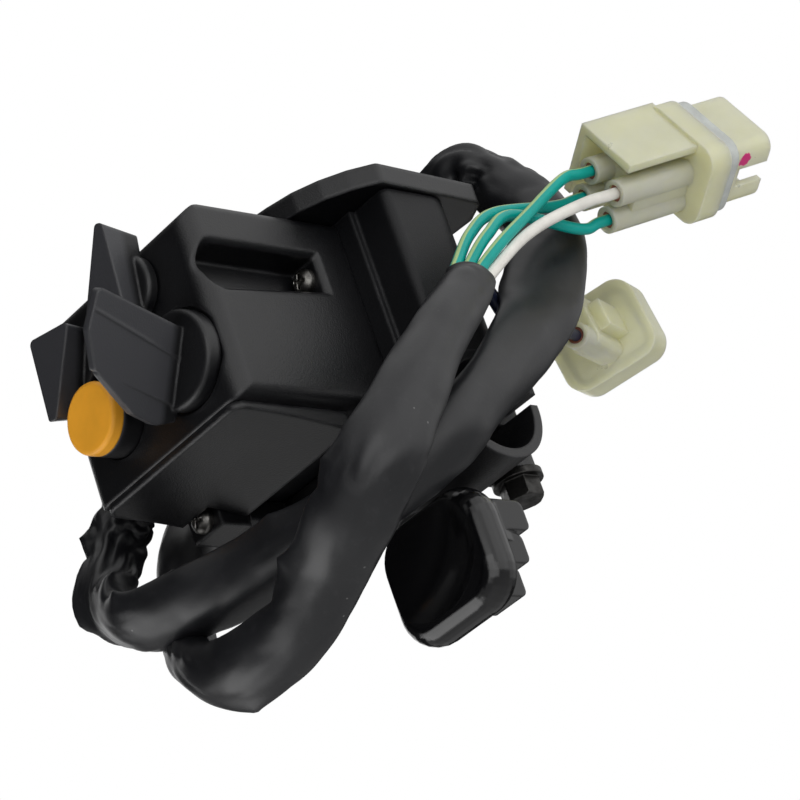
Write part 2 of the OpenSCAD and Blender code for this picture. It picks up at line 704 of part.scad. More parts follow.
module thumb_lever() {
    color([0.05, 0.05, 0.06]) difference() {
        union() {
            pad();
            translate([hub_at.x, hub_at.y, hub_low]) cylinder(h = hub_h, r = hub_r);
            translate([0, 0, hub_low]) linear_extrude(hub_h - 1) polygon([[hub_at.x - 6, hub_at.y + 6],
                [hub_at.x + 7.5, hub_at.y + 4], [step_out, -4], [step_out - 4, -9.6], [pad_back, -13],
                [pad_back, 5]]);
            for (k = [0 : 2]) translate([0, 0, hub_top - 0.2 - k * (step_h + step_gap)])
                pull_y(-10.4 + 0.4 * k, -1) arm_step(step_out - step_back[k]);
            pull_y(-9, -3) polygon([[step_web, hub_top - 2], [step_web, hub_top - 20],
                [pad_back, hub_top - 22], [pad_back, hub_top - 2]]);
        }
        translate([hub_at.x, hub_at.y, hub_low - 1])
            cylinder(h = hub_h + 2, r = pivot_r + run_fit + bush_wall);
        translate([hub_at.x, hub_at.y, hub_low - 20]) cylinder(h = 20, r = hub_r + 1);
    }
}

module lever_bush() {
    color([0.78, 0.6, 0.3]) translate([hub_at.x, hub_at.y, hub_low]) difference() {
        cylinder(h = hub_h, r = pivot_r + run_fit + bush_wall);
        translate([0, 0, -1]) cylinder(h = hub_h + 2, r = pivot_r + run_fit);
    }
}

module lever_washer() {
    color([0.6, 0.6, 0.6]) translate([hub_at.x, hub_at.y, hub_low - slack - washer_t]) difference() {
        cylinder(h = washer_t, r = hub_r - 0.4);
        translate([0, 0, -1]) cylinder(h = washer_t + 2, r = pivot_r);
    }
}

module lever_bolt() {
    color([0.5, 0.5, 0.5]) translate([hub_at.x, hub_at.y, 0]) {
        translate([0, 0, boss_low - 0.1]) cylinder(h = lever_thread - 0.2, r = bolt_r - 0.02);
        translate([0, 0, hub_low - slack - washer_t])
            cylinder(h = boss_low - hub_low + slack + washer_t, r = pivot_r);
        translate([0, 0, hub_low - slack - washer_t - 1.4]) cylinder(h = 1.4, r = hub_r - 1.5);
        translate([0, 0, hub_low - slack - washer_t - 5.4]) cylinder(h = 4.2, r = 5 / cos(30), $fn = 6);
    }
}

module harness_grommet() {
    color([0.1, 0.1, 0.11]) translate([outlet_x, case_out, outlet_z]) rotate([-90, 0, 0]) difference() {
        rotate_extrude() polygon([[0, -case_wall - 1.4], [outlet_r + grommet_lip, -case_wall - 1.4],
            [outlet_r + grommet_lip, -case_wall - seat], [outlet_r - seat, -case_wall - seat],
            [outlet_r - seat, seat], [outlet_r + grommet_lip, seat], [outlet_r + grommet_lip, 1.6],
            [sleeve_d / 2 + 0.9, grommet_out], [0, grommet_out]]);
        translate([0, 0, 2]) cylinder(h = grommet_out, r = sleeve_d / 2 + 0.05);
        translate([0, 0, -case_wall - 3]) cylinder(h = 20, r = sleeve_d / 2 - 1.4);
    }
}

module harness_sleeve() {
    color([0.12, 0.12, 0.13]) tube(concat([sleeve_route[0], sleeve_route[0] + [0, grommet_out + 1, 0]],
        [for (i = [1 : len(sleeve_route) - 1]) sleeve_route[i]]), sleeve_d / 2, 12, 1);
}

// Wire from the sleeve's end to a connector's cavity; at the sleeve the wires keep the cavities' order, drawn
// together by the factor tight about a point that lies aside from the sleeve's axis
module wire(aside, tight, mids, at, angles, cavity) {
    side = across(sleeve_dir);
    up = cross(side, sleeve_dir);
    spread = turn([cavity[0], cavity[1], 0], angles) * tight;
    first = sleeve_end + side * aside[0] + up * aside[1] + spread
        + sleeve_dir * (slack - spread * sleeve_dir);
    lead = at + turn([cavity[0], cavity[1], -8], angles);
    mouth = at + turn([cavity[0], cavity[1], -2], angles);
    last = at + turn([cavity[0], cavity[1], crimp_at], angles);
    tube(concat([first, first + 5 * sleeve_dir], mids, [lead, mouth, last]), wire_d / 2, 8, 2);
}

module main_wire(cavity) {
    bend = main_bend + turn([cavity[0], cavity[1], 0], main_turn) * 0.6;
    wire([1.7, 0], 0.48, [bend], main_at, main_turn, cavity);
}

module green_wire_a() { color([0, 0.62, 0.58]) main_wire(main_cavities[0]); }
module green_wire_b() { color([0, 0.62, 0.58]) main_wire(main_cavities[1]); }
module green_wire_c() { color([0, 0.62, 0.58]) main_wire(main_cavities[3]); }
module white_wire() { color([0.93, 0.92, 0.88]) main_wire(main_cavities[2]); }

module dark_wire_a() {
    color([0.12, 0.14, 0.25]) wire([-4.2, 1.6], 0, [[3, -22, 31.5], [14, -17.2, 27], [22, -16.2, 29]],
        small_at, small_turn, small_cavities[1]);
}

module dark_wire_b() {
    color([0.12, 0.14, 0.25]) wire([-4.2, -1.6], 0, [[5, -22, 26.5], [15, -17.2, 21], [23, -17, 20.8]],
        small_at, small_turn, small_cavities[0]);
}

// Connector shell with its wire end at the origin and its axis along Z
module plug_shell(cavities) {
    difference() {
        union() {
            for (c = cavities) translate([c[0], c[1], 0]) cylinder(h = collar_z, r = tube_r);
            translate([0, 0, 5]) linear_extrude(collar_z - 4)
                rounded(2 * (cavity_x + tube_r) - 2, 2 * (cavity_y + tube_r) - 2, 2);
            translate([0, -plug_rise, collar_z]) linear_extrude(collar_t) rounded(collar_w, collar_h, 4.5);
            translate([0, -plug_rise, collar_z + collar_t - 0.5])
                linear_extrude(plug_len - collar_z - collar_t + 0.5) rounded(plug_w, plug_h, 3.4);
            translate([-plug_w / 2 - 1.2, -plug_rise - plug_h / 2 - 1, latch_z]) {
                cube([2, plug_h + 1, collar_z - latch_z + 1]);
                cube([plug_w - 3, 2, collar_z - latch_z + 1]);
                translate([1, 1, 4]) cube([5, 4, collar_z - latch_z - 3]);
            }
        }
        for (c = cavities) translate([c[0], c[1], -1]) cylinder(h = plug_len, r = cavity_r);
        translate([0, -plug_rise, collar_z + collar_t + 1]) linear_extrude(plug_len)
            rounded(plug_w - 2 * plug_wall, plug_h - 2 * plug_wall, 2);
        for (s = [-1, 1]) translate([s * plug_w / 2, -plug_rise, plug_len - 4])
            cube([2 * plug_wall + 1, 5, 9], center = true);
    }
}

// Shorter mating half: two wire tubes behind a wide, shallow shroud
module shroud_shell(cavities) {
    difference() {
        union() {
            for (c = cavities) translate([c[0], c[1], 0]) cylinder(h = collar_z, r = tube_r);
            translate([0, 0, 6]) linear_extrude(collar_z - 5)
                rounded(2 * (cavity_x + tube_r) - 1, tube_r * 2 + 1, 2);
            translate([-3.5, tube_r - 1.6, 9]) cube([7, 5, collar_z - 8]);
            translate([0, 0, collar_z]) linear_extrude(shroud_t) rounded(collar_h, collar_w, 5);
        }
        for (c = cavities) translate([c[0], c[1], -1]) cylinder(h = plug_len, r = cavity_r);
        translate([0, 0, collar_z + 1.6]) linear_extrude(shroud_t)
            rounded(collar_h - 2 * shroud_wall, collar_w - 2 * shroud_wall, 5 - shroud_wall);
    }
}

module shroud_ring() {
    translate([0, 0, collar_z + 1.6]) linear_extrude(2) difference() {
        rounded(collar_h - 2 * shroud_wall, collar_w - 2 * shroud_wall, 5 - shroud_wall);
        rounded(collar_h - 2 * shroud_wall - 2.4, collar_w - 2 * shroud_wall - 2.4, 2);
    }
}

module plug_band() {
    translate([0, -plug_rise, collar_z + collar_t]) linear_extrude(band_t) difference() {
        rounded(plug_w + 2.4, plug_h + 2.4, 4.4);
        rounded(plug_w, plug_h, 3.4);
    }
}

module wire_seals(cavities) {
    for (c = cavities) translate([c[0], c[1], seal_in]) difference() {
        cylinder(h = seal_len, r = cavity_r);
        translate([0, 0, -1]) cylinder(h = seal_len + 2, r = wire_d / 2);
    }
}

module terminals(cavities, len) {
    for (c = cavities) translate([c[0], c[1], 0]) {
        translate([0, 0, crimp_at]) cylinder(h = collar_z - crimp_at, r = cavity_r);
        translate([-1.1, -0.4, collar_z - 1]) cube([2.2, 0.8, len - collar_z + 1]);
    }
}

module at_main() { translate(main_at) rotate(main_turn) children(); }
module at_small() { translate(small_at) rotate(small_turn) children(); }

module main_connector() { color([0.86, 0.87, 0.74]) at_main() plug_shell(main_cavities); }
module main_connector_seal() { color([0.66, 0.68, 0.68]) at_main() plug_band(); }
module main_wire_seals() { color([0.6, 0.28, 0.2]) at_main() wire_seals(main_cavities); }
module main_terminals() { color([0.75, 0.7, 0.5]) at_main() terminals(main_cavities, plug_len - 4); }
module small_connector() { color([0.86, 0.87, 0.74]) at_small() shroud_shell(small_cavities); }
module small_connector_seal() { color([0.66, 0.68, 0.68]) at_small() shroud_ring(); }
module small_wire_seals() { color([0.6, 0.28, 0.2]) at_small() wire_seals(small_cavities); }
module small_terminals() {
    color([0.75, 0.7, 0.5]) at_small() terminals(small_cavities, collar_z + shroud_t - 1.5);
}

switch_case();
bottom_cover();
clamp_body();
top_hood();
clamp_cap();
clamp_bolts();
case_screws();
contact_base();
contact_pins();
light_knob();
light_rotor();
stop_knob();
stop_rotor();
signal_knob();
signal_rotor();
button_cap();
button_stem();
button_spring();
button_contact();
thumb_lever();
lever_bush();
lever_washer();
lever_bolt();
harness_grommet();
harness_sleeve();
green_wire_a();
green_wire_b();
green_wire_c();
white_wire();
dark_wire_a();
dark_wire_b();
main_connector();
main_connector_seal();
main_wire_seals();
main_terminals();
small_connector();
small_connector_seal();
small_wire_seals();
small_terminals();
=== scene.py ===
# %% [markdown]
# # Handlebar switch cluster
# A left-hand control from a quad bike: a black case with three turning knobs and a push button, a split
# clamp for the handlebar, a thumb lever under it, and a vinyl sleeve that is wound round the body and ends
# in coloured wires and two sealed connectors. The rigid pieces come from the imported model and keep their
# shapes. This lesson adds the camera, the light, the soft sleeve, the wires and every finish.

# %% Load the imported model
import math

import bpy
from mathutils import Euler, Matrix, Vector, noise


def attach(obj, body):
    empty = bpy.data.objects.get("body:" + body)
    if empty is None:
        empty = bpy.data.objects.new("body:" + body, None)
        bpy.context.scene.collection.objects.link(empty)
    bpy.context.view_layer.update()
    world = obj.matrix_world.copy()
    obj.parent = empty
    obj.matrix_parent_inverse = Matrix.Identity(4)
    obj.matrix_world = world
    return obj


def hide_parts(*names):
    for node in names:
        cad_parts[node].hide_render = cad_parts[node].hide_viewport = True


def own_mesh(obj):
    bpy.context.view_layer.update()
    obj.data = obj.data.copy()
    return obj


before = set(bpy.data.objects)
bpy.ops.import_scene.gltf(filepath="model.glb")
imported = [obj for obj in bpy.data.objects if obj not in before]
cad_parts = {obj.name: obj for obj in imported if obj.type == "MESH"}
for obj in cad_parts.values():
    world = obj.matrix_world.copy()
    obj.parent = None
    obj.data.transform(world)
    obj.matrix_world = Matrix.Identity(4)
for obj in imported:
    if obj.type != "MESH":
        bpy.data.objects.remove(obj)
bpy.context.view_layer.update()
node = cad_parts
print("pieces from the model:", len(node))

# %% [markdown]
# ## Camera
# The cluster is seen from behind, below and a little inboard through a long lens. The camera could be aimed
# with a constraint, but its three axes were found from straight edges of the object, so they are written
# down and made square to each other.

# %% Camera
right = Vector((0.7167, -0.6278, -0.3036)).normalized()
toward = Vector((-0.6925, -0.5894, -0.4159))
toward = (toward - right * toward.dot(right)).normalized()
up = toward.cross(right)
eye = Vector((-0.4535, -0.3788, -0.2571))

lens = bpy.data.cameras.new("long lens")
lens.lens = 135
lens.sensor_width = 36
lens.clip_start = 0.01
camera = bpy.data.objects.new("camera", lens)
camera.matrix_world = Matrix.Translation(eye) @ Matrix((right, up, toward)).transposed().to_4x4()
bpy.context.scene.collection.objects.link(camera)
bpy.context.scene.camera = camera
print("camera distance to the bar:", round(eye.length, 3))

# %% [markdown]
# ## The line of the sleeve
# On the real cluster the harness leaves the case through a grommet on the outboard wall, drops under the
# case, crosses the inboard side, goes over the front and comes round a second time for packing. A curve
# object could be drawn by hand; here the turning points are listed and a spline runs through them, so that
# the sleeve stays within a few millimetres of the model's own route and each point can be moved by itself.

# %% Smooth line through points
def smooth_line(points, steps):
    """Points of a spline through the given points, with so many steps between neighbours."""
    points = [Vector(p) for p in points]
    line = []
    for i in range(len(points) - 1):
        a = points[max(i - 1, 0)]
        b = points[i]
        c = points[i + 1]
        d = points[min(i + 2, len(points) - 1)]
        for k in range(steps):
            t = k / steps
            bend = (2 * a - 5 * b + 4 * c - d) * t * t + (3 * b - a - 3 * c + d) * t ** 3
            line.append(0.5 * (2 * b + (c - a) * t + bend))
    return line + [points[-1]]


def run_length(line):
    """Length of a line of points."""
    return sum((b - a).length for a, b in zip(line, line[1:]))


# Turning points, called stations, in millimetres, each with the sleeve's half width and half thickness
sleeve_stations = [
    ((-29.8, 52, 19), 6.0, 6.0), ((-30.6, 61, 19.3), 6.1, 5.9), ((-32.6, 66.5, 16.5), 6.8, 5.2),
    ((-36.8, 69.5, 8.5), 7.2, 4.8), ((-45.9, 65, -4.8), 7.4, 4.4), ((-52.2, 52.7, -17.5), 8.0, 4.6),
    ((-49, 38, -20.5), 8.2, 4.4), ((-44, 23, -21.5), 8.0, 4.4), ((-40, 6, -21), 7.2, 4.6),
    ((-34.4, -10.1, -18.8), 7.6, 4.6), ((-24.3, -22.1, -13), 7.6, 4.4), ((-14, -25, -5), 7.2, 4.4),
    ((7, -25.5, 12), 8.4, 4.2), ((18.4, -24.9, 24.1), 9.4, 3.8), ((27.4, -24.3, 38), 9.0, 4.0),
    ((32.2, -20.8, 50.6), 8.0, 4.4), ((32.1, -14.3, 62), 7.4, 4.8), ((30.4, -6.8, 70.6), 7.0, 5.0),
    ((31, 6, 68), 7.0, 5.2), ((32, 20, 61), 6.8, 5.2), ((29, 35, 52), 6.8, 5.2),
    ((22, 50, 43), 6.8, 5.2), ((10, 60, 34), 6.8, 5.2), ((-6, 64, 23), 6.8, 5.2),
    ((-20, 63, 7), 6.8, 5.2), ((-28, 60, -7), 6.8, 5.2), ((-36.7, 54, -18.5), 6.2, 5.0),
    ((-48.5, 42.4, -31.9), 5.6, 4.8), ((-53, 28.2, -41.3), 7.6, 4.4), ((-50.8, 12.8, -41.3), 8.2, 4.6),
    ((-50.6, -2.0, -35.8), 8.3, 4.8), ((-53.3, -17.0, -30.0), 9.2, 5.0), ((-50.6, -27.5, -21.6), 8.9, 5.0),
    ((-41.4, -31.0, -10), 7.7, 5.0), ((-26.5, -31.4, 5.7), 6.4, 5.0), ((-13.5, -31.3, 17.6), 5.8, 4.2),
    ((-9.9, -30.9, 21.7), 5.4, 3.8),
]
STATION_STEPS = 16
sleeve_places = [[v / 1000 for v in place] for place, wide, thick in sleeve_stations]
sleeve_line = smooth_line(sleeve_places, STATION_STEPS)
print("sleeve length:", round(run_length(sleeve_line), 4))

# %% [markdown]
# ## Sleeve
# The sleeve is a soft vinyl tube, much too big for its few wires, so it lies flat, folds where it bends and
# crumples where it was pushed together. Cloth simulation could find such folds, but they would not fall
# where the real ones lie. Here rings of points are lofted along the line: each ring is a flattened oval, and
# creases are pressed into it, deepest at the tight bends. The largest folds are listed one by one as pinches,
# which stand out of one side of the ring or go into it.

# %% Creases and pinches
# Crumpled places: station number, reach in stations, depth in millimetres
crumples = [(2.2, 1.3, 1.1), (3.9, 1.2, 1.0), (16.6, 1.2, 1.0), (27, 1.0, 0.5), (31.5, 0.9, 0.35)]

# Pinched places: station number, reach in stations, angle round the ring, reach in angle, millimetres outward
pinches = [
    (2.75, 0.16, 0.0, 0.55, 1.7), (3.2, 0.16, 0.0, 0.7, -2.2), (3.95, 0.25, 0.0, 0.4, 2.4),
    (4.35, 0.16, math.pi, 0.6, 1.5), (4.75, 0.14, math.pi, 0.6, -1.4), (5.05, 0.14, math.pi, 0.5, 1.5),
    (7.6, 0.3, math.pi, 0.4, 1.6), (16.35, 0.12, 2.2, 0.9, -2.6), (16.62, 0.1, 2.2, 0.8, 1.2),
    (16.9, 0.13, 2.3, 0.9, -2.8), (17.2, 0.12, 2.2, 0.8, 1.0), (17.5, 0.14, 2.2, 0.8, -1.8),
    (28.1, 0.35, 0.0, 0.4, 2.4), (29.3, 0.35, math.pi, 0.7, -1.6), (29.95, 0.2, math.pi, 0.5, 2.2),
    (31.5, 0.3, math.pi, 0.45, 1.6), (31.15, 0.12, math.pi, 0.5, -1.2),
]

# Depth in millimetres of the creases that are everywhere, share of a crease that is pressed in, and height
# in millimetres of the slow swellings between the creases
EVEN_CREASE = 0.22
PRESSED_SHARE = 0.55
SWELLING = 0.35


def crease(i, angle):
    """How far the skin is pressed in at line point i and this angle, in metres."""
    at = i / STATION_STEPS
    press = EVEN_CREASE
    for centre, reach, depth in crumples:
        press += depth * math.exp(-((at - centre) / reach) ** 2)
    across = Vector((math.cos(angle) * 1.1, math.sin(angle) * 1.1, at * 1.15))
    fold = 1 - abs(noise.noise(across * 1.7 + Vector((3.1, 0, 0)))) * 2.2
    soft = noise.noise(across * 0.8 + Vector((0, 7.7, 0)))
    return (press * max(fold, -0.6) * PRESSED_SHARE + SWELLING * soft) / 1000


def pinch(i, angle):
    """How far the skin stands out at line point i and this angle, in metres."""
    out = 0
    for centre, reach, side, spread, amount in pinches:
        turn = abs(math.remainder(angle - side, 2 * math.pi))
        out += amount * math.exp(-abs(i / STATION_STEPS - centre) / reach - (turn / spread) ** 2)
    return out / 1000


print("crumpled places:", len(crumples), "pinched places:", len(pinches))

# %% Which way the flat side faces
# It mostly faces the viewer. It tips down or up a little at some stations, and it turns from inboard to
# rearward where the second round comes under the case.
face_dirs = [toward.copy() for station in sleeve_stations]
for i, tilt in ((4, 0.25), (5, 0.5), (6, 0.3), (10, 0.2), (11, 0.35), (12, 0.2), (33, 0.15), (34, 0.2)):
    face_dirs[i] = toward - up * tilt
for i, tilt in ((29, 0.1), (30, 0.15), (31, 0.15)):
    face_dirs[i] = toward + (right + up) * tilt
inboard_face = Vector((-0.28, -0.93, 0.29))
rear_face = Vector((-0.82, -0.18, -0.55))
for i, share in ((25, 0.2), (26, 0.4), (27, 0.6), (28, 0.8)):
    face_dirs[i] = inboard_face.lerp(rear_face, share)
print("facing directions:", len(face_dirs))

# %% Rings along the sleeve
# Points of a ring, the power that flattens it, and the number of line points over which the creases fade in
# at the start and fade out at the cut end
RING_POINTS = 56
FOLD_POWER = 1.35
CALM_START = 24
CALM_END = 10
half_widths = [wide for place, wide, thick in sleeve_stations]
half_thicknesses = [thick for place, wide, thick in sleeve_stations]
last = len(sleeve_line) - 1
sleeve_tangents = [(sleeve_line[min(i + 1, last)] - sleeve_line[max(i - 1, 0)]).normalized()
                   for i in range(last + 1)]


def along(values, i):
    """Value at line point i, eased between the stations."""
    at = i / STATION_STEPS
    k = min(int(at), len(values) - 2)
    t = at - k
    t = t * t * (3 - 2 * t)
    return values[k] * (1 - t) + values[k + 1] * t


def oval(angle, wide, thick):
    """Point of a flattened ring with sharper folds at its sides than an ellipse."""
    c = math.cos(angle)
    s = math.sin(angle)
    return wide * c, thick * math.copysign(abs(s) ** FOLD_POWER, s)


def sleeve_ring(i, shrink, lift):
    """Ring at line point i, drawn in by shrink and moved along the line by lift."""
    t = sleeve_tangents[i]
    thin = along(face_dirs, i)
    thin = (thin - t * thin.dot(t)).normalized()
    flat = t.cross(thin)
    wide = along(half_widths, i) / 1000 - shrink
    thick = along(half_thicknesses, i) / 1000 - shrink
    quiet = min(1, i / CALM_START) * min(1, (last - i) / CALM_END)
    ring = []
    for k in range(RING_POINTS):
        angle = 2 * math.pi * k / RING_POINTS
        a, b = oval(angle, wide, thick)
        out = Vector((a, b, 0)).normalized()
        press = (crease(i, angle) - pinch(i, angle)) * quiet
        ring.append(sleeve_line[i] + t * lift + flat * (a - out.x * press) + thin * (b - out.y * press))
    return ring


# The cut end turns in over a small lip and goes back a little way as the inner wall
LIP = 0.0003
WALL = 0.0007
MOUTH_DEPTH = 0.009
rings = [sleeve_ring(i, 0, 0) for i in range(last + 1)]
rings.append(sleeve_ring(last, LIP, LIP))
rings.append(sleeve_ring(last, WALL, 0))
rings.append(sleeve_ring(last, WALL, -MOUTH_DEPTH))
print("sleeve rings:", len(rings))

# %% Sleeve mesh
def loft(name, rings):
    """Closed skin over rings of equal size, with outward faces."""
    sides = len(rings[0])
    points = [p for ring in rings for p in ring]
    faces = []
    for i in range(len(rings) - 1):
        for k in range(sides):
            a = i * sides + k
            b = i * sides + (k + 1) % sides
            faces.append((a, b, b + sides, a + sides))
    faces.append(tuple(reversed(range(sides))))
    faces.append(tuple((len(rings) - 1) * sides + k for k in range(sides)))
    mesh = bpy.data.meshes.new(name)
    mesh.from_pydata(points, [], faces)
    mesh.polygons.foreach_set("use_smooth", [len(f) == 4 for f in faces])
    mesh.update()
    piece = bpy.data.objects.new(name, mesh)
    bpy.context.scene.collection.objects.link(piece)
    return piece


sleeve = loft("vinyl_sleeve", rings)
print("sleeve faces:", len(sleeve.data.polygons))

# %% [markdown]
# ## Wires
# Four wires go to the large connector and two to the small one. Each is a copper strand in a coloured skin,
# about 2.6 mm thick, and the green ones carry a paler stripe. A bevelled curve would do, but it can't mark
# where the stripe runs. A Geometry Nodes tree sweeps a circle along each run and writes the place round
# the wire into an attribute that the finish reads.

# %% Runs of the wires
# Place in millimetres and turn of each connector, as the model has them
main_at = Vector((33, -38.6, 43.9))
main_turn = Euler([math.radians(a) for a in (-55.4, 66.7, -75.9)]).to_matrix()
small_at = Vector((37.3, -15.2, 26.8))
small_turn = Euler([math.radians(a) for a in (36.9, -81.6, 163.7)]).to_matrix()

# Middle of the sleeve's cut end, with its outward, thin and wide directions
sleeve_end = Vector(sleeve_stations[-1][0])
end_dir = sleeve_tangents[-1]
end_thin = (toward - end_dir * toward.dot(end_dir)).normalized()
end_wide = end_dir.cross(end_thin)

# Millimetres: start inside the sleeve, straight way out of it, places along a connector's cavity, and the
# distance of the cavities from the middle of their connector
TUCKED_IN = 5
STRAIGHT_OUT = 3
CAVITY_PLACES = (-8, -2, 9)
SIDE = 4.4
ROW = 3.7
WIRE_STEPS = 10


def wire_run(start, mids, at, turn, cavity):
    """Line of a wire in metres, from a place across the sleeve's end to its terminal."""
    first = sleeve_end + end_wide * start[0] + end_thin * start[1]
    points = [first - end_dir * TUCKED_IN, first, first + end_dir * STRAIGHT_OUT]
    points += [Vector(p) for p in mids]
    points += [at + turn @ Vector((*cavity, z)) for z in CAVITY_PLACES]
    return smooth_line([p / 1000 for p in points], WIRE_STEPS)


def main_run(start, mids, x, y):
    return wire_run(start, mids, main_at, main_turn, (x, y))


def small_run(start, mids, x):
    return wire_run(start, mids, small_at, small_turn, (x, 0))


# Start across the sleeve's end, places on the way in millimetres, and the cavity that each wire goes into
wire_runs = {
    "green_wire_a": main_run((1.4, 0.9), [(0.5, -34.3, 30.3), (10.2, -35.4, 37.4)], -SIDE, -ROW),
    "green_wire_b": main_run((-3.6, 0.2), [(-2.5, -28.9, 34.9), (7.9, -29.0, 41.8)], -SIDE, ROW),
    "green_wire_c": main_run((-1.1, 0.9), [(-1.3, -32.2, 32.7), (9.3, -32.3, 39.3)], SIDE, ROW),
    "white_wire": main_run((3.7, -0.2), [(5.0, -34.4, 30.2), (14.0, -36.7, 35.4)], SIDE, -ROW),
    "dark_wire_a": small_run((-1.6, -1.7), [(3, -22, 31.5), (14, -17.2, 27), (22, -16.2, 29)], SIDE),
    "dark_wire_b": small_run((1.2, -1.8), [(5, -22, 26.5), (15, -17.2, 21), (23, -17, 20.8)], -SIDE),
}
for name, line in wire_runs.items():
    print(name, round(run_length(line), 4))

# %% Node tree that sweeps a wire
def math_node(tree, operation, *values):
    """Math node in a tree; each value is a socket or a number."""
    made = tree.nodes.new("ShaderNodeMath")
    made.operation = operation
    for socket, value in zip(made.inputs, values):
        if isinstance(value, bpy.types.NodeSocket):
            tree.links.new(value, socket)
        else:
            socket.default_value = value
    return made.outputs[0]


def wire_tree():
    """Tree that sweeps a circle along a run and marks each point with the cosine of its turn round it."""
    tree = bpy.data.node_groups.new("wire along its run", "GeometryNodeTree")
    face = tree.interface
    face.new_socket("Run", in_out="INPUT", socket_type="NodeSocketGeometry")
    face.new_socket("Radius", in_out="INPUT", socket_type="NodeSocketFloat")
    face.new_socket("Stripe turn", in_out="INPUT", socket_type="NodeSocketFloat")
    face.new_socket("Skin", in_out="INPUT", socket_type="NodeSocketMaterial")
    face.new_socket("Wire", in_out="OUTPUT", socket_type="NodeSocketGeometry")
    make = tree.nodes.new
    link = tree.links.new
    start = make("NodeGroupInput")
    ring = make("GeometryNodeCurvePrimitiveCircle")
    ring.inputs["Resolution"].default_value = 20
    factor = make("GeometryNodeSplineParameter").outputs["Factor"]
    turn = math_node(tree, "MULTIPLY_ADD", factor, 2 * math.pi, start.outputs["Stripe turn"])
    mark = make("GeometryNodeStoreNamedAttribute")
    mark.data_type = "FLOAT"
    mark.domain = "POINT"
    mark.inputs["Name"].default_value = "round_the_wire"
    sweep = make("GeometryNodeCurveToMesh")
    sweep.inputs["Fill Caps"].default_value = True
    smooth = make("GeometryNodeSetShadeSmooth")
    real = make("GeometryNodeRealizeInstances")
    skin = make("GeometryNodeSetMaterial")
    done = make("NodeGroupOutput")
    link(start.outputs["Radius"], ring.inputs["Radius"])
    link(ring.outputs["Curve"], mark.inputs["Geometry"])
    link(math_node(tree, "COSINE", turn), mark.inputs["Value"])
    link(start.outputs["Run"], sweep.inputs["Curve"])
    link(mark.outputs["Geometry"], sweep.inputs["Profile Curve"])
    link(sweep.outputs["Mesh"], smooth.inputs["Geometry"])
    link(smooth.outputs["Geometry"], real.inputs["Geometry"])
    link(real.outputs["Geometry"], skin.inputs["Geometry"])
    link(start.outputs["Skin"], skin.inputs["Material"])
    link(skin.outputs["Geometry"], done.inputs["Wire"])
    return tree


def socket_of(tree, name):
    """Identifier of a tree's input."""
    return next(s.identifier for s in tree.interface.items_tree if s.name == name and s.in_out == "INPUT")


wire_nodes = wire_tree()
print("wire tree nodes:", len(wire_nodes.nodes))

# %% [markdown]
# ## Finishes
# Every finish is built from nodes on Object coordinates, so it needs no image and stays put when a piece
# moves. Moulded plastic has a faint grain, patches that are a little more worn, and edges that catch the
# light because no mould is quite sharp. The Bevel node rounds those edges in the shading only. The knobs
# are painted a paler grey beyond their discs: painted light, which stands for the lamps falling on the fins.

# %% Node helper for finishes
class Finish:
    """A Principled material with a few words for adding nodes to it."""

    def __init__(self, name, colour, rough, **constants):
        self.material = bpy.data.materials.new(name)
        self.material.use_nodes = True
        self.tree = self.material.node_tree
        self.shader = self.tree.nodes["Principled BSDF"]
        self.shader.inputs["Base Color"].default_value = (*colour, 1)
        self.shader.inputs["Roughness"].default_value = rough
        for socket, value in constants.items():
            self.shader.inputs[socket.replace("_", " ")].default_value = value
        self.place = self.add("ShaderNodeTexCoord").outputs["Object"]

    def add(self, kind, **inputs):
        """New node, with its inputs set by name."""
        made = self.tree.nodes.new(kind)
        for socket, value in inputs.items():
            self.put(made, socket.replace("_", " "), value)
        return made

    def put(self, to, socket, value):
        """Links a socket, or sets a number, on an input of a node."""
        if isinstance(value, bpy.types.NodeSocket):
            self.tree.links.new(value, to.inputs[socket])
        else:
            to.inputs[socket].default_value = value

    def noise(self, scale, detail=4, rough=0.55):
        return self.add("ShaderNodeTexNoise", Vector=self.place, Scale=scale, Detail=detail, Roughness=rough)

    def ramp(self, value, low, high):
        """Value spread so that low becomes 0 and high becomes 1."""
        made = self.add("ShaderNodeMapRange", Value=value)
        self.put(made, "From Min", low)
        self.put(made, "From Max", high)
        return made.outputs["Result"]

    def span(self, value, low, high):
        """Value from 0 to 1 spread between low and high."""
        made = self.add("ShaderNodeMapRange", Value=value)
        self.put(made, "To Min", low)
        self.put(made, "To Max", high)
        return made.outputs["Result"]

    def mix(self, factor, a, b):
        made = self.tree.nodes.new("ShaderNodeMix")
        made.data_type = "RGBA"
        self.put(made, 0, factor)
        for socket, value in ((6, a), (7, b)):
            self.put(made, socket, value if isinstance(value, bpy.types.NodeSocket) else (*value, 1))
        return made.outputs[2]

    def bump(self, height, distance, normal=None):
        made = self.add("ShaderNodeBump", Height=height, Distance=distance, Strength=1)
        if normal is not None:
            self.put(made, "Normal", normal)
        return made.outputs["Normal"]

    def soft_edges(self, radius):
        """Normal that is rounded over the edges."""
        soft = self.tree.nodes.new("ShaderNodeBevel")
        soft.samples = 6
        self.put(soft, "Radius", radius)
        return soft.outputs["Normal"]

    def lean(self, normal):
        """How far a rounded normal leans away from the flat one, from 0 to 1."""
        flat = self.tree.nodes.new("ShaderNodeNewGeometry")
        dot = self.tree.nodes.new("ShaderNodeVectorMath")
        dot.operation = "DOT_PRODUCT"
        self.put(dot, 0, normal)
        self.put(dot, 1, flat.outputs["True Normal"])
        return self.ramp(dot.outputs["Value"], 0.995, 0.8)

    def into(self, socket, value):
        self.put(self.shader, socket, value)


print("finish helper ready")

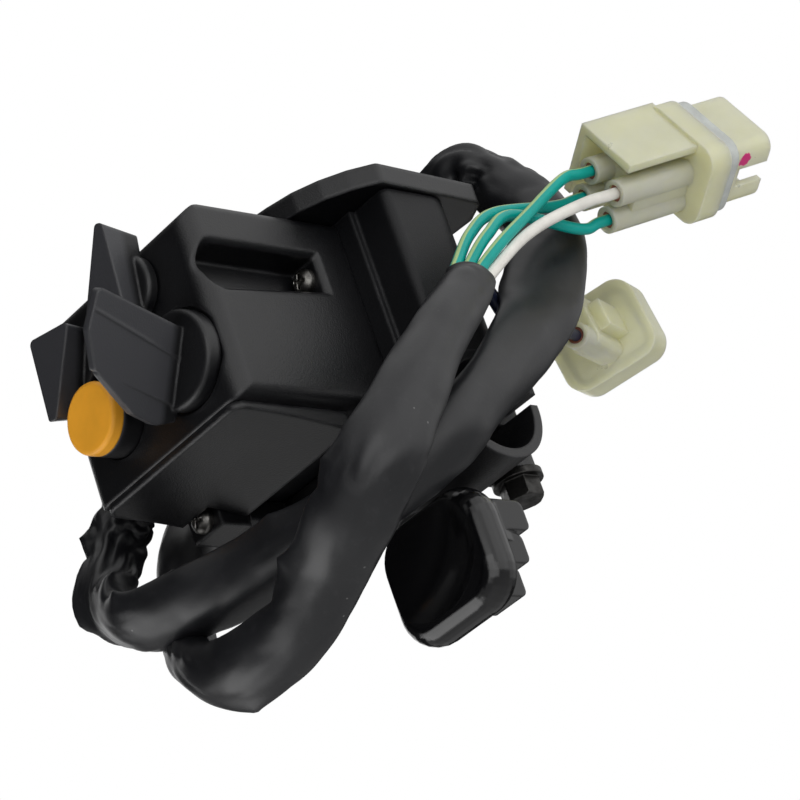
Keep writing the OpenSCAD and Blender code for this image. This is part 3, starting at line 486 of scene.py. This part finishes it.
# %% Moulded plastic
def moulded(name, colour, worn, rough, grain, edge, lit_grey_beyond_disc=None, **constants):
    """Satin plastic: patchy tone, fine grain, edges rubbed paler, and a paler grey beyond a knob's disc as
    painted light on its fin.
    """
    f = Finish(name, colour, rough, **constants)
    normal = f.soft_edges(edge)
    patches = f.noise(55, 5).outputs["Fac"]
    fine = f.noise(2600, 2).outputs["Fac"]
    uneven = f.ramp(f.noise(240, 3).outputs["Fac"], 0.35, 0.62)
    rub = math_node(f.tree, "MULTIPLY", f.lean(normal), uneven)
    tone = f.mix(f.ramp(patches, 0.3, 0.75), [c * 0.86 for c in colour], [c * 1.16 for c in colour])
    # Painted light: a knob is painted a paler grey beyond its disc, for the light that falls on its fin.
    if lit_grey_beyond_disc:
        pale, near, far = lit_grey_beyond_disc
        depth = f.add("ShaderNodeSeparateXYZ", Vector=f.place).outputs["X"]
        tone = f.mix(f.ramp(depth, near, far), tone, pale)
    f.into("Base Color", f.mix(rub, tone, worn))
    f.into("Roughness", f.span(patches, rough - 0.07, rough + 0.07))
    f.into("Normal", f.bump(fine, grain, normal))
    return f.material


def paint(material, *names):
    """Puts a finish on nodes of the model."""
    for name in names:
        piece = node[name]
        if not piece.material_slots:
            piece.data.materials.append(material)
        for slot in piece.material_slots:
            slot.material = material


# Depths along X, in metres, between which a knob turns from its disc's black to a paler grey that is painted
# light on the fins
DISC_FRONT = -0.0602
LIT_GREY_FROM = -0.062
case_black = moulded("case_black", (0.003, 0.0031, 0.004), (0.03, 0.03, 0.033), 0.36, 0.00006, 0.0014)
# The knob finish carries painted light: a paler grey beyond the disc, for the lit fins.
knob_black = moulded("knob_black", (0.003, 0.0031, 0.004), (0.045, 0.045, 0.048), 0.40, 0.00004, 0.001,
                     lit_grey_beyond_disc=((0.036, 0.0365, 0.041), DISC_FRONT, LIT_GREY_FROM))
cap_black = moulded("cap_black", (0.009, 0.009, 0.0102), (0.04, 0.04, 0.044), 0.46, 0.00008, 0.0008)
# Painted shade: the clamp body gets a copy of the case finish that reflects less, for the shade under the
# hood and the sleeve.
clamp_shaded_black = moulded("clamp_shaded_black", (0.0045, 0.0047, 0.0058), (0.03, 0.03, 0.033), 0.5, 0.00006, 0.0013,
                      Specular_IOR_Level=0.28)
paint(case_black, "switch_case", "bottom_cover", "top_hood")
paint(clamp_shaded_black, "clamp_body")
paint(knob_black, "light_knob", "stop_knob", "signal_knob", "button_stem")
paint(cap_black, "clamp_cap")
print("moulded finishes:", [m.name for m in (case_black, clamp_shaded_black, knob_black, cap_black)])

# %% [markdown]
# The thumb lever and the button are moulded in polished tools, so they are smooth, with faint hairline
# scratches and almost no grain. A clear coat could be laid over the plastic; the real pieces have none, so
# a lower roughness gives the gloss. The button is orange through and through.

# %% Gloss plastic
def gloss(name, colour, rough, edge):
    """Polished plastic: slightly cloudy, with hairlines drawn out along one direction."""
    f = Finish(name, colour, rough)
    normal = f.soft_edges(edge)
    cloud = f.noise(70, 4).outputs["Fac"]
    drawn_out = f.add("ShaderNodeMapping", Vector=f.place, Scale=(300, 2400, 500)).outputs["Vector"]
    scratch = f.add("ShaderNodeTexNoise", Vector=drawn_out, Scale=1.0, Detail=2)
    tone = f.mix(f.ramp(cloud, 0.3, 0.7), [c * 0.9 for c in colour], [c * 1.1 for c in colour])
    f.into("Base Color", tone)
    f.into("Roughness", f.span(cloud, rough * 0.8, rough * 1.3))
    f.into("Normal", f.bump(scratch.outputs["Fac"], 0.000008, normal))
    return f.material


lever_black = gloss("lever_black", (0.003, 0.003, 0.0035), 0.12, 0.0008)
button_orange = gloss("button_orange", (0.95, 0.42, 0.03), 0.4, 0.0006)
paint(lever_black, "thumb_lever")
paint(button_orange, "button_cap")
print("gloss finishes:", lever_black.name, button_orange.name)

# %% [markdown]
# The screws are zinc-plated steel that has gone dull and blotchy, and the bolts are plated black. Both have
# brighter rubbed corners. The spring and the contacts inside keep their bright metal. One plain grey would
# do from afar; a blotch noise that moves both colour and roughness makes them look like plating.

# %% Metals
def plated(name, colour, dull, rough, edge):
    """Blotchy metal with brighter corners."""
    f = Finish(name, colour, rough, Metallic=1.0)
    normal = f.soft_edges(edge)
    blotch = f.ramp(f.noise(420, 5, 0.65).outputs["Fac"], 0.38, 0.66)
    base = f.mix(blotch, colour, dull)
    f.into("Base Color", f.mix(f.lean(normal), base, [min(1, c * 1.7) for c in colour]))
    f.into("Roughness", f.span(blotch, rough - 0.06, rough + 0.16))
    f.into("Normal", f.bump(f.noise(3000, 2).outputs["Fac"], 0.00002, normal))
    return f.material


dark_zinc = plated("dark_zinc", (0.17, 0.165, 0.155), (0.08, 0.078, 0.075), 0.34, 0.0005)
spring_steel = plated("spring_steel", (0.55, 0.55, 0.56), (0.38, 0.37, 0.36), 0.25, 0.0002)
contact_brass = plated("contact_brass", (0.72, 0.5, 0.2), (0.5, 0.32, 0.12), 0.28, 0.0002)
black_zinc = plated("black_zinc", (0.05, 0.049, 0.047), (0.024, 0.023, 0.022), 0.36, 0.0005)
paint(dark_zinc, "case_screws", "lever_washer")
paint(black_zinc, "clamp_bolts", "lever_bolt")
paint(spring_steel, "button_spring")
paint(contact_brass, "contact_pins", "button_contact", "lever_bush", "main_terminals", "small_terminals")
print("metal finishes:", [m.name for m in (dark_zinc, black_zinc, spring_steel, contact_brass)])

# %% [markdown]
# The connectors are natural nylon: milky, slightly yellow-green and a little see-through, with flow marks.
# Light goes into such plastic and comes out elsewhere, so the shader scatters under the surface. The large
# one has a dab of marking paint. The seals, the grommet, the board and the rotors are dull and a bit dusty.

# %% Milky and rubbery finishes
# Radii in metres of the dab of paint: where it begins and is whole, and how ragged its outline is
DAB_EDGE = 0.0026
DAB_WHOLE = 0.0023
DAB_RAGGED = 0.0016


def milky(name, colour, deep, rough, dab_place, dab_paint):
    """Natural nylon with one dab of marking paint at a place on it."""
    f = Finish(name, colour, rough, Subsurface_Weight=0.8, Subsurface_Scale=0.007, Transmission_Weight=0.2)
    f.shader.inputs["Subsurface Radius"].default_value = (1.0, 0.95, 0.6)
    normal = f.soft_edges(0.0007)
    flow = f.noise(130, 4).outputs["Fac"]
    away = f.tree.nodes.new("ShaderNodeVectorMath")
    away.operation = "DISTANCE"
    f.put(away, 0, f.place)
    f.put(away, 1, dab_place)
    rag = f.noise(900, 3).outputs["Fac"]
    ragged = math_node(f.tree, "MULTIPLY_ADD", rag, DAB_RAGGED, away.outputs["Value"])
    tone = f.mix(f.ramp(flow, 0.3, 0.75), colour, deep)
    f.into("Base Color", f.mix(f.ramp(ragged, DAB_EDGE, DAB_WHOLE), tone, dab_paint))
    f.into("Roughness", f.span(flow, rough - 0.08, rough + 0.1))
    f.into("Normal", f.bump(f.noise(1500, 2).outputs["Fac"], 0.00002, normal))
    return f.material


def rubbery(name, colour, rough):
    """Dull plastic or rubber with some dust on it."""
    f = Finish(name, colour, rough)
    normal = f.soft_edges(0.0003)
    dust = f.noise(300, 4).outputs["Fac"]
    f.into("Base Color", f.mix(f.ramp(dust, 0.4, 0.8), colour, [c * 1.3 + 0.01 for c in colour]))
    f.into("Roughness", f.span(dust, rough - 0.06, rough + 0.08))
    f.into("Normal", f.bump(f.noise(2200, 2).outputs["Fac"], 0.00003, normal))
    return f.material


connector_natural = milky("connector_natural", (0.83, 0.82, 0.57), (0.77, 0.76, 0.5), 0.3,
                          (0.0621, -0.059, 0.0446), (0.75, 0.01, 0.22))
seal_grey = rubbery("seal_grey", (0.47, 0.49, 0.47), 0.55)
seal_brown = rubbery("seal_brown", (0.36, 0.13, 0.085), 0.5)
grommet_black = rubbery("grommet_black", (0.018, 0.018, 0.02), 0.55)
board_brown = rubbery("board_brown", (0.22, 0.11, 0.05), 0.6)
rotor_natural = rubbery("rotor_natural", (0.62, 0.58, 0.48), 0.5)
paint(connector_natural, "main_connector", "small_connector")
paint(seal_grey, "main_connector_seal", "small_connector_seal")
paint(seal_brown, "main_wire_seals", "small_wire_seals")
paint(grommet_black, "harness_grommet")
paint(board_brown, "contact_base")
paint(rotor_natural, "light_rotor", "stop_rotor", "signal_rotor")
print("milky finish:", connector_natural.name)
print("dull finishes:", [m.name for m in (seal_grey, seal_brown, grommet_black, board_brown, rotor_natural)])

# %% [markdown]
# The vinyl of the sleeve is soft and satin, with a leathery grain, chalky streaks and a touch of dust. The
# wires have a smooth skin; on the green ones a paler stripe follows the attribute that the node tree wrote.

# %% Vinyl and wire skins
def vinyl(name, colour, chalk, rough):
    """Soft vinyl with a fine grain, chalky streaks and specks of dust."""
    f = Finish(name, colour, rough)
    grain = f.noise(1300, 3, 0.6).outputs["Fac"]
    cloud = f.noise(90, 5).outputs["Fac"]
    streak = f.noise(420, 4, 0.7).outputs["Fac"]
    specks = f.add("ShaderNodeTexVoronoi", Vector=f.place, Scale=260.0)
    small = f.ramp(specks.outputs["Distance"], 0.075, 0.05)
    few = f.ramp(specks.outputs["Color"], 0.72, 0.8)
    dust = math_node(f.tree, "MULTIPLY", small, few)
    tone = f.mix(f.ramp(cloud, 0.3, 0.7), colour, [c * 1.35 for c in colour])
    tone = f.mix(f.ramp(streak, 0.56, 0.86), tone, chalk)
    f.into("Base Color", f.mix(dust, tone, (0.11, 0.11, 0.11)))
    f.into("Roughness", f.span(cloud, rough - 0.08, rough + 0.1))
    f.into("Normal", f.bump(grain, 0.00002))
    return f.material


def wire_skin(name, colour, stripe, edge):
    """Smooth skin whose stripe lies where the mark round the wire is above the edge value."""
    f = Finish(name, colour, 0.36, Specular_IOR_Level=0.3)
    around = f.tree.nodes.new("ShaderNodeAttribute")
    around.attribute_name = "round_the_wire"
    cloud = f.noise(160, 3).outputs["Fac"]
    tone = f.mix(f.ramp(cloud, 0.3, 0.7), [c * 0.9 for c in colour], [min(1, c * 1.1) for c in colour])
    f.into("Base Color", f.mix(f.ramp(around.outputs["Fac"], edge, edge + 0.08), tone, stripe))
    f.into("Roughness", f.span(cloud, 0.3, 0.42))
    f.into("Normal", f.bump(f.noise(1800, 2).outputs["Fac"], 0.00001))
    return f.material


sleeve_vinyl = vinyl("sleeve_vinyl", (0.005, 0.0052, 0.0065), (0.016, 0.016, 0.018), 0.38)
green_skin = wire_skin("wire_green", (0.0, 0.36, 0.31), (0.42, 0.6, 0.25), 0.88)
white_skin = wire_skin("wire_white", (0.82, 0.8, 0.74), (0.86, 0.84, 0.79), 0.9)
dark_skin = wire_skin("wire_dark", (0.014, 0.018, 0.045), (0.03, 0.035, 0.075), 0.8)
sleeve.data.materials.append(sleeve_vinyl)
print("skins:", [m.name for m in (sleeve_vinyl, green_skin, white_skin, dark_skin)])

# %% [markdown]
# Each wire's run becomes a curve, the node tree turns it into a skin, and the skin is kept as a plain mesh,
# because an export can't carry a live tree. Then every soft piece rides on the housing's body, and the solid
# it stands for is hidden.

# %% Sweep the wires
WIRE_DIAMETER = 0.0026
STRIPE_TURN = 1.2


def sweep_wire(name, line, skin):
    """Runs the node tree on one wire and keeps the result as a plain mesh."""
    curve = bpy.data.curves.new(name + "_run", "CURVE")
    curve.dimensions = "3D"
    spline = curve.splines.new("POLY")
    spline.points.add(len(line) - 1)
    for point, place in zip(spline.points, line):
        point.co = (*place, 1)
    run = bpy.data.objects.new(name + "_run", curve)
    bpy.context.scene.collection.objects.link(run)
    sweep = run.modifiers.new("sweep", "NODES")
    sweep.node_group = wire_nodes
    sweep[socket_of(wire_nodes, "Radius")] = WIRE_DIAMETER / 2
    sweep[socket_of(wire_nodes, "Stripe turn")] = STRIPE_TURN
    sweep[socket_of(wire_nodes, "Skin")] = skin
    ready = run.evaluated_get(bpy.context.evaluated_depsgraph_get())
    mesh = bpy.data.meshes.new_from_object(ready)
    mesh.name = name + "_skin"
    piece = bpy.data.objects.new(name + "_skin", mesh)
    bpy.context.scene.collection.objects.link(piece)
    bpy.data.objects.remove(run)
    return piece


skins = {"green": green_skin, "white": white_skin, "dark": dark_skin}
wires = {name: sweep_wire(name, line, skins[name.split("_")[0]]) for name, line in wire_runs.items()}
print("wires swept:", {name: len(w.data.polygons) for name, w in wires.items()})

housing = "housing"
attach(sleeve, housing)
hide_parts("harness_sleeve")
for name, wire in wires.items():
    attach(wire, housing)
    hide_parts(name)
print("cords declared:", 1 + len(wires))

# %% [markdown]
# ## Spring of the button
# A small coil spring stands between the button's stem and the board, and its turns close up when the button
# is pushed. Here the spring only gets a mesh of its own.

# %% Spring with a mesh of its own
spring = node["button_spring"]
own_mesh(spring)

# %% [markdown]
# ## Light and ground
# The light is a plain studio: bright above and to the right, and dim to the left and below, so that
# neighbouring faces of the black plastic part from each other. A lit picture could surround the scene; here
# the world is a smooth change from dim to white along one direction. The camera, and light that passes
# through the connectors, see it white. Mirror rays see it white on its bright side only, or else the black
# plate would turn grey. Four soft lamps help: a weak key at the upper right, a front lamp for the button and
# the connectors, a bounce from below for the lower rims, and one behind for the far side. The floor is pale
# and lies well below, because the view is from underneath. It glows a little for the camera and through the
# connectors, so that it passes into the white background and still takes shadows.

# %% World
world = bpy.data.worlds.new("studio")
bpy.context.scene.world = world
world.use_nodes = True
sky = world.node_tree
sky.nodes.clear()

# Strength of the dim side and how much the bright side adds; where the change begins and ends, as cosines
SKY_LEAST = 0.04
SKY_RISE = 1.05
DIM_UNTIL = -0.05
BRIGHT_FROM = 0.95
bright_side = (right * 0.45 + up * 0.84 + toward * 0.08).normalized()
where = sky.nodes.new("ShaderNodeTexCoord")
toward_bright = sky.nodes.new("ShaderNodeVectorMath")
toward_bright.operation = "DOT_PRODUCT"
toward_bright.inputs[1].default_value = bright_side
sky.links.new(where.outputs["Generated"], toward_bright.inputs[0])
level = sky.nodes.new("ShaderNodeMapRange")
level.interpolation_type = "SMOOTHSTEP"
level.inputs["From Min"].default_value = DIM_UNTIL
level.inputs["From Max"].default_value = BRIGHT_FROM
sky.links.new(toward_bright.outputs["Value"], level.inputs["Value"])
ray = sky.nodes.new("ShaderNodeLightPath").outputs
glossy_white = math_node(sky, "MULTIPLY", ray["Is Glossy Ray"], level.outputs["Result"])
clear_white = math_node(sky, "MAXIMUM", ray["Is Camera Ray"], ray["Is Transmission Ray"])
shows_white = math_node(sky, "MAXIMUM", clear_white, glossy_white)
studio = sky.nodes.new("ShaderNodeBackground")
strength = math_node(sky, "MULTIPLY_ADD", level.outputs["Result"], SKY_RISE, SKY_LEAST)
sky.links.new(strength, studio.inputs["Strength"])
white = sky.nodes.new("ShaderNodeBackground")
white.inputs["Color"].default_value = (1, 1, 1, 1)
blend = sky.nodes.new("ShaderNodeMixShader")
sky.links.new(shows_white, blend.inputs[0])
sky.links.new(studio.outputs[0], blend.inputs[1])
sky.links.new(white.outputs[0], blend.inputs[2])
sky.links.new(blend.outputs[0], sky.nodes.new("ShaderNodeOutputWorld").inputs["Surface"])
bpy.context.scene.view_settings.view_transform = "Standard"
print("bright side of the world:", [round(v, 2) for v in bright_side])

# %% Lamps and floor
def soft_lamp(name, offset, size, power):
    """Square lamp at an offset in the camera's right, up and toward directions, aimed at the object."""
    lamp = bpy.data.lights.new(name, "AREA")
    lamp.size = size
    lamp.energy = power
    lamp_object = bpy.data.objects.new(name, lamp)
    lamp_object.visible_camera = False
    spot = right * offset[0] + up * offset[1] + toward * offset[2]
    lamp_object.matrix_world = Matrix.Translation(spot) @ spot.to_track_quat("Z", "Y").to_matrix().to_4x4()
    bpy.context.scene.collection.objects.link(lamp_object)


soft_lamp("key", (0.6, 0.6, 0.3), 0.8, 0.9)
soft_lamp("front", (0.0, 0.35, 1.0), 1.0, 4.4)
soft_lamp("bounce", (-0.6, -0.75, 0.2), 0.8, 4.5)
soft_lamp("back", (-0.32, -0.17, -0.96), 0.8, 2.4)

FLOOR_Z = -1.1
FLOOR_HALF = 3
FLOOR_GLOW = 0.6
corners = [(x * FLOOR_HALF, y * FLOOR_HALF, FLOOR_Z) for x, y in ((-1, -1), (1, -1), (1, 1), (-1, 1))]
floor_mesh = bpy.data.meshes.new("floor")
floor_mesh.from_pydata(corners, [], [(0, 1, 2, 3)])
floor = bpy.data.objects.new("floor", floor_mesh)
floor_paint = Finish("floor_white", (0.86, 0.86, 0.86), 0.8)
path = floor_paint.add("ShaderNodeLightPath").outputs
floor_seen = math_node(floor_paint.tree, "MAXIMUM", path["Is Camera Ray"], path["Is Transmission Ray"])
floor_paint.into("Emission Strength", floor_paint.span(floor_seen, 0, FLOOR_GLOW))
floor.data.materials.append(floor_paint.material)
bpy.context.scene.collection.objects.link(floor)

# %% Done
print("scene ready")
